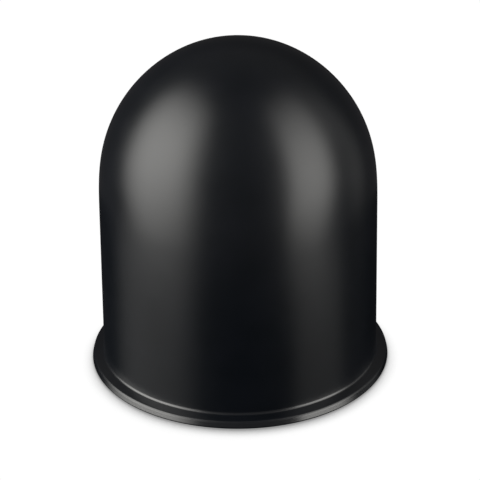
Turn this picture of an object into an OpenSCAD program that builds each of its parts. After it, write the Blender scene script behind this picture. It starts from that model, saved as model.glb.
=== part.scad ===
// Tow ball cover: one thin moulding that drops over a 50 mm tow ball.
// The origin is the middle of the mouth, on the plane that the foot stands on. +Z points up to the crown.
// The whole form is one section turned round the Z axis.

/* [Ball] */
// Diameter of the tow ball that the cover goes over
ball_d = 50; // [40:0.5:60]
// Room all round between the ball and the inside of the cover
ball_clearance = 0.1; // [0.05:0.05:0.5]
// Height of the ball's centre above the foot
ball_z = 40.2; // [30:0.1:60]

/* [Shell] */
// Thickness of the wall beside the ball
wall_t = 2.7; // [1.5:0.1:4]
// Thickness of the roof over the ball
roof_t = 2.8; // [1.5:0.1:5]
// Taper of the wall's outside, in degrees, wider at the foot
wall_draft = 0.75; // [0:0.05:1.5]
// Taper of the mouth's inside, in degrees, wider at the foot
mouth_draft = 0.75; // [0:0.05:1.5]
// Height of the straight land that holds the ball's widest line
land_h = 9; // [3:0.5:20]
// Radius of the mouth's lower edge
mouth_edge_r = 0.8; // [0.3:0.1:1.2]

/* [Dome] */
// How much taller than a half ball the dome's outside is
dome_rise = 1; // [0.2:0.1:4]
// How much smaller the crown's radius is than the wall's
crown_tighter = 1.6; // [1:0.1:4]

/* [Flange] */
// How far the flange's foot reaches past the foot of the wall
flange_w = 2.45; // [1.8:0.05:8]
// Thickness of the flange where it meets the wall
flange_t = 2; // [1.8:0.05:4]
// Height of the rim's upper edge above the foot
rim_h = 1.45; // [1:0.05:1.7]
// Lean of the rim's face towards the wall, in degrees
rim_lean = 14; // [0:1:25]
// Radius of the rim's upper edge
rim_edge_r = 0.15; // [0.05:0.05:0.25]
// Radius of the rim's lower edge
foot_edge_r = 0.3; // [0.1:0.05:0.35]
// Radius of the hollow corner between the wall and the flange
hollow_r = 0.6; // [0.2:0.05:0.8]

/* [Hidden] */
$fn = 180;
// How far a cutting or joining shape runs past the face that it meets
past = 1;
// How far an arc stands past the line or arc that it blends into, so that the two cross in one point
crossing = 0.0005;
// Angle over which the crown runs on below the haunch
crown_lap = 6;

bore_r = ball_d / 2 + ball_clearance;
body_r = bore_r + wall_t;
height = ball_z + bore_r + roof_t;

// The dome's outside is two arcs: a wide flank on the wall and a tighter crown over it.
// The flank's radius is the one that touches both the tapered wall and the crown.
spring_z = height - body_r - dome_rise;
crown_r = body_r - crown_tighter;
crown_centre = [0, height - crown_r];
crown_lift = crown_centre.y - spring_z;
flank_r = (body_r ^ 2 + crown_lift ^ 2 - crown_r ^ 2)
    / (2 * (body_r * cos(wall_draft) - crown_r - crown_lift * sin(wall_draft)));
flank_centre = [body_r, spring_z] - polar(flank_r, wall_draft);
haunch_angle = atan2(crown_centre.y - flank_centre.y, crown_centre.x - flank_centre.x);

// The flange's corners, with its upper side falling from the wall to the rim.
wall_foot_r = body_r + spring_z * tan(wall_draft);
wall_corner = [wall_foot_r - flange_t * tan(wall_draft), flange_t];
foot_corner = [wall_foot_r + flange_w, 0];
rim_corner = [foot_corner.x - rim_h * tan(rim_lean), rim_h];
flange_slope = atan2(wall_corner.y - rim_corner.y, rim_corner.x - wall_corner.x);

// The inside is a tapered mouth, the straight land and a half ball.
land_z = ball_z - land_h;
mouth_r = bore_r + land_z * tan(mouth_draft);

function polar(r, angle) = r * [cos(angle), sin(angle)];

// Corner between two tangents of a circle, the sharp point p and the arc of radius r that rounds it.
// The arc's touching points lie at angles a and b from its centre. The shape is taken off an outer edge
// to round it, or added to an inner corner to fill it.
module corner(p, a, b, r) {
    translate(p - polar(r / cos((b - a) / 2), (a + b) / 2)) difference() {
        polygon([[0, 0], polar(2 * r, a), polar(2 * r, a) + polar(2 * r, b), polar(2 * r, b)]);
        circle(r + crossing);
    }
}

// Right half of the solid outside, from the foot up to the crown.
module outside() {
    polygon([[0, 0], foot_corner, rim_corner, wall_corner, [body_r, spring_z], [0, spring_z]]);
    corner(wall_corner, 180 + wall_draft, 270 - flange_slope, hollow_r);
    intersection() {
        translate(flank_centre) circle(flank_r + crossing);
        polygon([
            [0, spring_z - past], [2 * body_r, spring_z - past],
            crown_centre + polar(2 * crown_r, haunch_angle), crown_centre
        ]);
    }
    intersection() {
        translate(crown_centre) circle(crown_r + 2 * crossing);
        polygon([
            crown_centre,
            crown_centre + polar(2 * crown_r, haunch_angle - crown_lap),
            crown_centre + [0, 2 * crown_r]
        ]);
    }
}

// Right half of the space inside, open below the foot.
module inside() {
    polygon([
        [0, -past], [mouth_r + past * tan(mouth_draft), -past],
        [bore_r, land_z], [bore_r, ball_z], [0, ball_z]
    ]);
    translate([0, ball_z]) intersection() {
        circle(bore_r);
        square(2 * bore_r);
    }
}

module section() {
    difference() {
        outside();
        inside();
        corner(foot_corner, -90, rim_lean, foot_edge_r);
        corner(rim_corner, rim_lean, 90 - flange_slope, rim_edge_r);
        corner([mouth_r, 0], 180 + mouth_draft, 270, mouth_edge_r);
    }
}

module cover() {
    color("#1b1d1f") rotate_extrude() section();
}

cover();
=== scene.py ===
import math

import bpy
import numpy as np
from mathutils import Matrix, Vector


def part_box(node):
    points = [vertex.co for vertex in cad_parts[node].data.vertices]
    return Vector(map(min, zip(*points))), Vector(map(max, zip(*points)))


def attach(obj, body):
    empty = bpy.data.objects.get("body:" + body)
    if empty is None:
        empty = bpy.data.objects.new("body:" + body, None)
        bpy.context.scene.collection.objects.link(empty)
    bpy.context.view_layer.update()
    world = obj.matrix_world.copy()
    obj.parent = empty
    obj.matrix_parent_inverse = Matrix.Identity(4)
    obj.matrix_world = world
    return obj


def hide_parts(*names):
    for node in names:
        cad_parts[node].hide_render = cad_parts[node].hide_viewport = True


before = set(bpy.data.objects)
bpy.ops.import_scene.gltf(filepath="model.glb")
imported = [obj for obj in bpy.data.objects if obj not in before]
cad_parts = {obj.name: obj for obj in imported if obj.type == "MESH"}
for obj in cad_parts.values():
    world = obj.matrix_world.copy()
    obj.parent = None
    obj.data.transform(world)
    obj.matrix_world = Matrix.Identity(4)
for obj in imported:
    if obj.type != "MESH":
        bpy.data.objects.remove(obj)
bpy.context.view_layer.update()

# Camera
# A long lens looks down on the cover from the front, turned a little on its own axis.
# Its place comes from fitting the outline of the part, at its real size, to the photographed one.
MM = 0.001
LENS = 141.1
SENSOR = 36
EYE_DISTANCE = 377.8 * MM
EYE_ELEVATION = math.radians(25.8)
EYE_CENTRE = 34.05 * MM
LOOK_AT = Vector((0.249, 0, 25.73)) * MM
CAMERA_ROLL = math.radians(-0.73)
NEAREST_SEEN = 0.01
FURTHEST_SEEN = 20


def eye_place():
    """The eye stands in front of the point EYE_CENTRE up the cover's axis, at EYE_DISTANCE from it:
    the cosine of its elevation gives how far in front, and the sine how far above."""
    ahead = EYE_DISTANCE * math.cos(EYE_ELEVATION)
    above = EYE_DISTANCE * math.sin(EYE_ELEVATION)
    return Vector((0, -ahead, EYE_CENTRE + above))


def camera_matrix(eye, target, roll):
    """The camera looks along eye to target with its up side as near +Z as it can be, then turns
    by roll round that line."""
    turned = (target - eye).to_track_quat("-Z", "Y").to_matrix().to_4x4()
    return Matrix.Translation(eye) @ turned @ Matrix.Rotation(roll, 4, "Z")


camera_data = bpy.data.cameras.new("camera")
camera_data.lens = LENS
camera_data.sensor_width = SENSOR
camera_data.clip_start = NEAREST_SEEN
camera_data.clip_end = FURTHEST_SEEN
camera = bpy.data.objects.new("camera", camera_data)
camera.matrix_world = camera_matrix(eye_place(), LOOK_AT, CAMERA_ROLL)
bpy.context.collection.objects.link(camera)
bpy.context.scene.camera = camera

# Cover
# One thin cap of black ABS that drops over the tow ball, with a narrow flange round its foot.
# It is injection moulded in a polished tool, so it is satin-glossy, with the faint waviness of
# a moulded skin.
BALL_R = 25 * MM
BALL_ROOM = 0.1 * MM
BALL_Z = 40.2 * MM
WALL_T = 2.7 * MM
WALL_DRAFT = math.radians(0.75)
LAND_H = 9 * MM
MOUTH_EDGE_R = 0.8 * MM
DOME_RISE = 1 * MM
CROWN_TIGHTER = 1.5 * MM
JOIN_LIFT = 0.6 * MM
JOIN_INSET = 0.2 * MM
FLANGE_W = 2.45 * MM
FLANGE_T = 2 * MM
RIM_H = 1.45 * MM
RIM_LEAN = math.radians(14)
RIM_EDGE_R = 0.6 * MM
FOOT_EDGE_R = 0.3 * MM
HOLLOW_R = 0.6 * MM
HOLLOW_TOP = FLANGE_T + HOLLOW_R
TURNS = 320


def straight(start, end, steps):
    """Points on a line from start to end, closer together towards both ends by a half cosine
    wave."""
    t = (1 - np.cos(np.pi * np.arange(steps + 1) / steps)) / 2
    return start + t[:, None] * (end - start)


def arc(centre, radius, first, last, steps):
    """Points on a circle round centre, at equal steps of angle from first to last."""
    a = np.linspace(first, last, steps + 1)
    return centre + radius * np.stack([np.cos(a), np.sin(a)], 1)


def corner_centre(point, first, last, radius):
    """Centre of the arc that rounds a corner at the point. It lies on the line halfway between
    the normals of the corner's two sides, inwards by the radius over the cosine of half the
    angle between them."""
    middle = (first + last) / 2
    inwards = radius / math.cos((last - first) / 2)
    return point - inwards * np.array([math.cos(middle), math.sin(middle)])


def easing(start, first, last, length, steps):
    """Points on a curve that straightens evenly along its length. The angle of its normal goes
    from first to last by the square of the share of the length still to go, and each point is
    a short step from the one before, square to the normal."""
    to_go = 1 - np.arange(steps + 1) / steps
    angle = last + (first - last) * to_go ** 2
    middle = (angle[1:] + angle[:-1]) / 2
    step = length / steps * np.stack([np.sin(middle), -np.cos(middle)], 1)
    return start + np.concatenate([np.zeros((1, 2)), np.cumsum(step, 0)])


def cover_profile():
    """Radius and height of the cover's section, from the crown down the outside, round the foot
    and up to the roof inside.

    The crown is an arc round the axis, tighter than the wall. The flank is the arc that touches
    the crown, and would touch the drafted wall near the height of the ball's middle if the wall
    stood further in by the join's inset. The join then straightens evenly from flank to wall.
    It is as long as the square root of 24 times flank times inset, which is the length that
    takes up just that inset. Each corner is rounded by an arc between its sides' normals, as
    angles from straight out."""
    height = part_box("cover")[1].z
    bore = BALL_R + BALL_ROOM
    body = bore + WALL_T
    across, along = math.cos(WALL_DRAFT), math.sin(WALL_DRAFT)
    taper = math.tan(WALL_DRAFT)

    wall_foot = body + (height - body - DOME_RISE) * taper
    spring = height - body - DOME_RISE + JOIN_LIFT
    inner = wall_foot - spring * taper - JOIN_INSET / across
    crown = body - CROWN_TIGHTER
    crown_at = np.array([0, height - crown])
    lift = crown_at[1] - spring
    flank = (inner ** 2 + lift ** 2 - crown ** 2) / (2 * (inner * across - crown - lift * along))
    flank_at = np.array([inner - flank * across, spring - flank * along])
    haunch = math.atan2(crown_at[1] - flank_at[1], crown_at[0] - flank_at[0])
    join_length = math.sqrt(24 * flank * JOIN_INSET)
    join_start = WALL_DRAFT + join_length / (2 * flank)

    wall_corner = np.array([wall_foot - FLANGE_T * taper, FLANGE_T])
    foot_corner = np.array([wall_foot + FLANGE_W, 0])
    rim_corner = np.array([foot_corner[0] - RIM_H * math.tan(RIM_LEAN), RIM_H])
    slope = math.atan2(wall_corner[1] - rim_corner[1], rim_corner[0] - wall_corner[0])
    land = BALL_Z - LAND_H
    land_foot = np.array([bore, land])
    mouth_corner = np.array([bore + land * taper, 0])

    down, up, inwards, down_again = -math.pi / 2, math.pi / 2, math.pi, 3 * math.pi / 2
    hollow_at = corner_centre(wall_corner, inwards + WALL_DRAFT, down_again - slope, HOLLOW_R)
    rim_at = corner_centre(rim_corner, RIM_LEAN, up - slope, RIM_EDGE_R)
    foot_at = corner_centre(foot_corner, down, RIM_LEAN, FOOT_EDGE_R)
    mouth_at = corner_centre(mouth_corner, inwards + WALL_DRAFT, down_again, MOUTH_EDGE_R)

    dome = arc(crown_at, crown, up, haunch, steps=60)
    side = arc(flank_at, flank, haunch, join_start, steps=40)
    join = easing(side[-1], join_start, WALL_DRAFT, join_length, steps=30)
    hollow = arc(hollow_at, HOLLOW_R, inwards + WALL_DRAFT, down_again - slope, steps=10)
    rim_edge = arc(rim_at, RIM_EDGE_R, up - slope, RIM_LEAN, steps=6)
    foot_edge = arc(foot_at, FOOT_EDGE_R, RIM_LEAN, down, steps=8)
    mouth_edge = arc(mouth_at, MOUTH_EDGE_R, down_again, inwards + WALL_DRAFT, steps=10)
    roof = arc(np.array([0, BALL_Z]), bore, 0, up, steps=48)
    return np.concatenate([
        dome[:-1],
        side[:-1],
        join[:-1],
        straight(join[-1], hollow[0], steps=16)[:-1],
        hollow[:-1],
        straight(hollow[-1], rim_edge[0], steps=8)[:-1],
        rim_edge[:-1],
        straight(rim_edge[-1], foot_edge[0], steps=6)[:-1],
        foot_edge[:-1],
        straight(foot_edge[-1], mouth_edge[0], steps=10)[:-1],
        mouth_edge[:-1],
        straight(mouth_edge[-1], land_foot, steps=10)[:-1],
        straight(land_foot, roof[0], steps=6)[:-1],
        roof,
    ])


def turned_mesh(name, profile, turns):
    """The profile turned round the Z axis: x = r cos a, y = r sin a, z unchanged. Its first and
    last points are single poles, each closed by a fan of triangles."""
    a = np.arange(turns) * 2 * math.pi / turns
    rings = profile[1:-1]
    x = rings[:, :1] * np.cos(a)
    y = rings[:, :1] * np.sin(a)
    z = np.repeat(rings[:, 1:], turns, axis=1)
    poles = np.array([[0, 0, profile[0, 1]], [0, 0, profile[-1, 1]]])
    points = np.concatenate([np.stack([x, y, z], 2).reshape(-1, 3), poles])

    here = np.arange(turns)
    after = (here + 1) % turns
    row = np.arange(len(rings) - 1)[:, None] * turns
    corners = [row + here, row + turns + here, row + turns + after, row + after]
    quads = np.stack(corners, 2).reshape(-1, 4)
    last = (len(rings) - 1) * turns
    top, bottom = len(points) - 2, len(points) - 1
    caps = np.concatenate([
        np.stack([np.full(turns, top), here, after], 1),
        np.stack([last + here, np.full(turns, bottom), last + after], 1),
    ])

    mesh = bpy.data.meshes.new(name)
    mesh.from_pydata(points.tolist(), [], quads.tolist() + caps.tolist())
    mesh.polygons.foreach_set("use_smooth", np.ones(len(mesh.polygons), bool))
    mesh.update()
    return mesh


def linear(colour):
    """An sRGB hex colour as linear RGBA. Each channel is c / 12.92 up to 0.04045, and
    ((c + 0.055) / 1.055) ^ 2.4 above it."""
    c = [int(colour[i:i + 2], 16) / 255 for i in (1, 3, 5)]
    return (*[v / 12.92 if v <= 0.04045 else ((v + 0.055) / 1.055) ** 2.4 for v in c], 1)


def add_node(tree, kind, inputs, **settings):
    """A node of that kind. Each input is a plain value for its socket, or the output that is
    linked to it."""
    node = tree.nodes.new(kind)
    for key, value in settings.items():
        setattr(node, key, value)
    for socket, value in inputs.items():
        if isinstance(value, bpy.types.NodeSocket):
            tree.links.new(value, node.inputs[socket])
        else:
            node.inputs[socket].default_value = value
    return node


PLASTIC_DARK = "#03060b"
PLASTIC_LIGHT = "#05080e"
FLOW_SIZE = 9 * MM
FLOW_DEPTH = 0.05 * MM
GRAIN_SIZE = 0.35 * MM
GRAIN_DEPTH = 0.01 * MM
RIM_FACE_COAT = 1
RIM_EDGE_COAT = 0.1
FLANGE_COAT = 0.35


def moulded_abs():
    """Black ABS from a polished tool: near-black colour, a broad soft highlight, and a skin that
    waves by hundredths of a millimetre where the plastic flowed. The face of the rim lies in
    the tool's brightest part and shines most, and the flange's top and the hollow shine a
    little more than the wall."""
    material = bpy.data.materials.new("moulded_abs_black")
    material.use_nodes = True
    tree = material.node_tree
    tree.nodes.clear()
    place = add_node(tree, "ShaderNodeTexCoord", {}).outputs["Object"]

    flow = add_node(tree, "ShaderNodeTexNoise", {
        "Vector": place, "Scale": 1 / FLOW_SIZE, "Detail": 3, "Roughness": 0.55})
    # The real grain is a few hundredths of a millimetre wide, too fine to show in the render,
    # so it is drawn about ten times as coarse.
    grain = add_node(tree, "ShaderNodeTexNoise", {
        "Vector": place, "Scale": 1 / GRAIN_SIZE, "Detail": 2, "Roughness": 0.6})

    colour = add_node(tree, "ShaderNodeValToRGB", {"Fac": flow.outputs["Fac"]})
    dark, light = colour.color_ramp.elements
    dark.position, dark.color = 0.35, linear(PLASTIC_DARK)
    light.position, light.color = 0.65, linear(PLASTIC_LIGHT)
    gloss = add_node(tree, "ShaderNodeMapRange", {
        "Value": flow.outputs["Fac"],
        "From Min": 0.3, "From Max": 0.7, "To Min": 0.28, "To Max": 0.31})

    height = add_node(tree, "ShaderNodeSeparateXYZ", {"Vector": place}).outputs["Z"]
    share = add_node(tree, "ShaderNodeMapRange", {
        "Value": height, "From Min": 0, "From Max": HOLLOW_TOP, "To Min": 0, "To Max": 1})
    coat = add_node(tree, "ShaderNodeValToRGB", {"Fac": share.outputs["Result"]})
    coat_by_height = (
        (1 * MM, RIM_FACE_COAT),
        (1.3 * MM, RIM_EDGE_COAT),
        (RIM_H, FLANGE_COAT),
        (FLANGE_T + 0.2 * MM, FLANGE_COAT),
        (HOLLOW_TOP - 0.1 * MM, 0),
    )
    stops = coat.color_ramp.elements
    for z, level in coat_by_height:
        stops.new(z / HOLLOW_TOP).color = (level, level, level, 1)
    stops.remove(stops[0])
    stops.remove(stops[-1])

    grain_bump = add_node(tree, "ShaderNodeBump", {
        "Height": grain.outputs["Fac"], "Strength": 0.25, "Distance": GRAIN_DEPTH})
    skin_bump = add_node(tree, "ShaderNodeBump", {
        "Height": flow.outputs["Fac"], "Strength": 0.5, "Distance": FLOW_DEPTH,
        "Normal": grain_bump.outputs["Normal"]})
    plastic = add_node(tree, "ShaderNodeBsdfPrincipled", {
        "Base Color": colour.outputs["Color"], "Roughness": gloss.outputs["Result"], "IOR": 1.5,
        "Coat Weight": coat.outputs["Color"], "Coat Roughness": 0.15, "Coat IOR": 1.7,
        "Normal": skin_bump.outputs["Normal"]})
    add_node(tree, "ShaderNodeOutputMaterial", {"Surface": plastic.outputs["BSDF"]})
    return material


cover_mesh = turned_mesh("moulded_cover", cover_profile(), TURNS)
cover = bpy.data.objects.new("moulded_cover", cover_mesh)
cover.data.materials.append(moulded_abs())
bpy.context.collection.objects.link(cover)
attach(cover, "root")
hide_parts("cover")

# Floor
# A wide round sheet of white acrylic, lit from below until it is pure white, with a contact shadow
# painted into its glow round the cover's foot. Only the camera sees it: in the cover's reflections
# the base under the cover takes its place.
FLOOR_R = 4
FLOOR_CORNERS = 96
# Reach, lean and depth of the contact shadow that is painted into the floor's glow.
CONTACT_REACH = 6 * MM
CONTACT_LEAN = math.radians(30)
CONTACT_SHADE = 0.32
FULL_GLOW = 1.02


def flat_oval(name, half_width, half_depth, z, corners):
    """One flat face at height z, on the points (half width cos t, half depth sin t) at equal
    steps of t."""
    t = np.arange(corners) * 2 * math.pi / corners
    rim = np.stack([half_width * np.cos(t), half_depth * np.sin(t), np.full(corners, z)], 1)
    mesh = bpy.data.meshes.new(name)
    mesh.from_pydata(rim.tolist(), [], [list(range(corners))])
    return mesh


def sheet_with_painted_contact_shadow():
    """White acrylic lit from below, with no gloss, and a painted contact shadow. Round whatever
    stands on it, its glow is turned down by the share of the space above that is hidden within the
    contact's reach, looking
    up and a little to the back: shade painted into the glow, not cast by any lamp."""
    material = bpy.data.materials.new("white_sheet_painted_contact_shadow")
    material.use_nodes = True
    tree = material.node_tree
    tree.nodes.clear()
    upwards = add_node(tree, "ShaderNodeCombineXYZ", {
        "Y": math.sin(CONTACT_LEAN), "Z": math.cos(CONTACT_LEAN)})
    open_share = add_node(tree, "ShaderNodeAmbientOcclusion", {
        "Distance": CONTACT_REACH, "Normal": upwards.outputs["Vector"]}, samples=16)
    # Painted contact shadow: the glow is dimmed towards CONTACT_SHADE where the space above is
    # hidden.
    glow = add_node(tree, "ShaderNodeMapRange", {
        "Value": open_share.outputs["AO"], "From Min": 0.45, "From Max": 0.95,
        "To Min": CONTACT_SHADE, "To Max": FULL_GLOW}, interpolation_type="SMOOTHSTEP")
    sheet = add_node(tree, "ShaderNodeEmission", {
        "Color": (1, 1, 1, 1), "Strength": glow.outputs["Result"]})
    add_node(tree, "ShaderNodeOutputMaterial", {"Surface": sheet.outputs["Emission"]})
    return material


floor = bpy.data.objects.new("floor", flat_oval("floor", FLOOR_R, FLOOR_R, 0, FLOOR_CORNERS))
floor.data.materials.append(sheet_with_painted_contact_shadow())
floor.visible_glossy = False
floor.visible_diffuse = False
floor.visible_shadow = False
bpy.context.collection.objects.link(floor)

# Base under the cover
# An oval plate of polished black acrylic, just below the floor. It shows only in the cover's
# wall, where it mirrors the lights dimly: the camera sees the lit white floor in its place.
BASE_HALF_WIDTH = 106 * MM
BASE_HALF_DEPTH = 92 * MM
BASE_DROP = 0.05 * MM
BASE_CORNERS = 96
BASE_BLACK = "#000102"


def black_acrylic():
    """Polished black acrylic: no colour of its own, and a clear mirror image."""
    material = bpy.data.materials.new("polished_black_acrylic")
    material.use_nodes = True
    tree = material.node_tree
    tree.nodes.clear()
    plate = add_node(tree, "ShaderNodeBsdfPrincipled", {
        "Base Color": linear(BASE_BLACK), "Roughness": 0.05, "IOR": 1.4})
    add_node(tree, "ShaderNodeOutputMaterial", {"Surface": plate.outputs["BSDF"]})
    return material


base_mesh = flat_oval("base", BASE_HALF_WIDTH, BASE_HALF_DEPTH, -BASE_DROP, BASE_CORNERS)
base = bpy.data.objects.new("base", base_mesh)
base.data.materials.append(black_acrylic())
base.visible_camera = False
base.visible_diffuse = False
base.visible_shadow = False
bpy.context.collection.objects.link(base)

# Studio light
# Two tall softboxes stand at the cover's left and right, leaning back at the top, each brightest
# in its middle. Two weak lights fill in from the back, and the room round them glows faintly,
# more in front and overhead. The camera sees plain white in the room's place.
LIGHT_DISTANCE = 1.2
LAMP_COLOUR = (1, 0.99, 0.955)


def softbox(name, azimuth, elevation, width, height, radiance, twist, fades):
    """A rectangular light that faces the cover's middle. Its power is its radiance times pi
    times its area. Its brightness rises from each side as 3 t^2 - 2 t^3, where t is 0 at the
    side and 1 at that side's fade, a share of the whole width or height. The sides are its own
    -X and +X, its bottom and its top. Azimuth is 0 in front of the cover and grows to the
    right, all angles are in degrees, and twist turns the light in its own plane."""
    data = bpy.data.lights.new(name, "AREA")
    data.shape = "RECTANGLE"
    data.size = width
    data.size_y = height
    data.energy = radiance * math.pi * width * height
    data.color = LAMP_COLOUR
    data.use_nodes = True
    tree = data.node_tree
    tree.nodes.clear()
    place = add_node(tree, "ShaderNodeNewGeometry", {}).outputs["Parametric"]
    across = add_node(tree, "ShaderNodeSeparateXYZ", {"Vector": place})
    glow = 1
    for side, edge, fade in zip("XXYY", (0, 1, 0, 1), fades):
        rise = add_node(tree, "ShaderNodeMapRange", {
            "Value": across.outputs[side], "From Min": edge, "From Max": abs(edge - fade),
            "To Min": 0, "To Max": 1}, interpolation_type="SMOOTHSTEP").outputs["Result"]
        glow = add_node(
            tree, "ShaderNodeMath", {0: rise, 1: glow}, operation="MULTIPLY").outputs[0]
    lamp = add_node(tree, "ShaderNodeEmission", {"Color": (1, 1, 1, 1), "Strength": glow})
    add_node(tree, "ShaderNodeOutputLight", {"Surface": lamp.outputs["Emission"]})

    light = bpy.data.objects.new(name, data)
    a, e = math.radians(azimuth), math.radians(elevation)
    towards = Vector((math.sin(a) * math.cos(e), -math.cos(a) * math.cos(e), math.sin(e)))
    centre = Vector((0, 0, EYE_CENTRE))
    facing = towards.to_track_quat("Z", "Y").to_matrix().to_4x4()
    spin = Matrix.Rotation(math.radians(twist), 4, "Z")
    light.matrix_world = Matrix.Translation(centre + towards * LIGHT_DISTANCE) @ facing @ spin
    light.visible_camera = False
    bpy.context.collection.objects.link(light)


softbox(
    "softbox_left", azimuth=-73.2, elevation=13.7, width=2.26, height=4.02,
    radiance=7.5, twist=18.9, fades=(0.439, 0.381, 0.8, 0.534))
softbox(
    "softbox_right", azimuth=67.5, elevation=16.9, width=1.18, height=3.56,
    radiance=6.6, twist=-16.8, fades=(0.201, 0.367, 0.663, 0.778))
softbox(
    "fill_behind_right", azimuth=109, elevation=15, width=1, height=2.4,
    radiance=0.36, twist=0, fades=(0.5, 0.5, 0.3, 0.4))
softbox(
    "fill_high_behind", azimuth=180, elevation=58, width=3.4, height=1.8,
    radiance=0.07, twist=0, fades=(0.3, 0.3, 0.4, 0.4))

ROOM_COLOUR = (1, 0.96, 0.96, 1)
FRONT_GLOW = 0.12
BACK_GLOW = 0.045
CEILING_GLOW = 0.035
world = bpy.data.worlds.new("studio")
world.use_nodes = True
world_tree = world.node_tree
world_tree.nodes.clear()
ray = add_node(world_tree, "ShaderNodeLightPath", {})
direction = add_node(world_tree, "ShaderNodeTexCoord", {}).outputs["Generated"]
along = add_node(world_tree, "ShaderNodeSeparateXYZ", {"Vector": direction})
walls = add_node(world_tree, "ShaderNodeMapRange", {
    "Value": along.outputs["Y"], "From Min": -0.4, "From Max": 0.2,
    "To Min": FRONT_GLOW, "To Max": BACK_GLOW})
ceiling = add_node(world_tree, "ShaderNodeMapRange", {
    "Value": along.outputs["Z"], "From Min": 0.3, "From Max": 0.8,
    "To Min": 0, "To Max": CEILING_GLOW})
room_glow = add_node(world_tree, "ShaderNodeMath", {
    0: walls.outputs["Result"], 1: ceiling.outputs["Result"]}, operation="ADD")
room = add_node(world_tree, "ShaderNodeBackground", {
    "Color": ROOM_COLOUR, "Strength": room_glow.outputs[0]})
backdrop = add_node(world_tree, "ShaderNodeBackground", {"Color": (1, 1, 1, 1), "Strength": 1})
both = add_node(world_tree, "ShaderNodeMixShader", {
    0: ray.outputs["Is Camera Ray"], 1: room.outputs["Background"],
    2: backdrop.outputs["Background"]})
add_node(world_tree, "ShaderNodeOutputWorld", {"Surface": both.outputs["Shader"]})
bpy.context.scene.world = world
bpy.context.scene.view_settings.view_transform = "Standard"
bpy.context.scene.view_settings.look = "None"
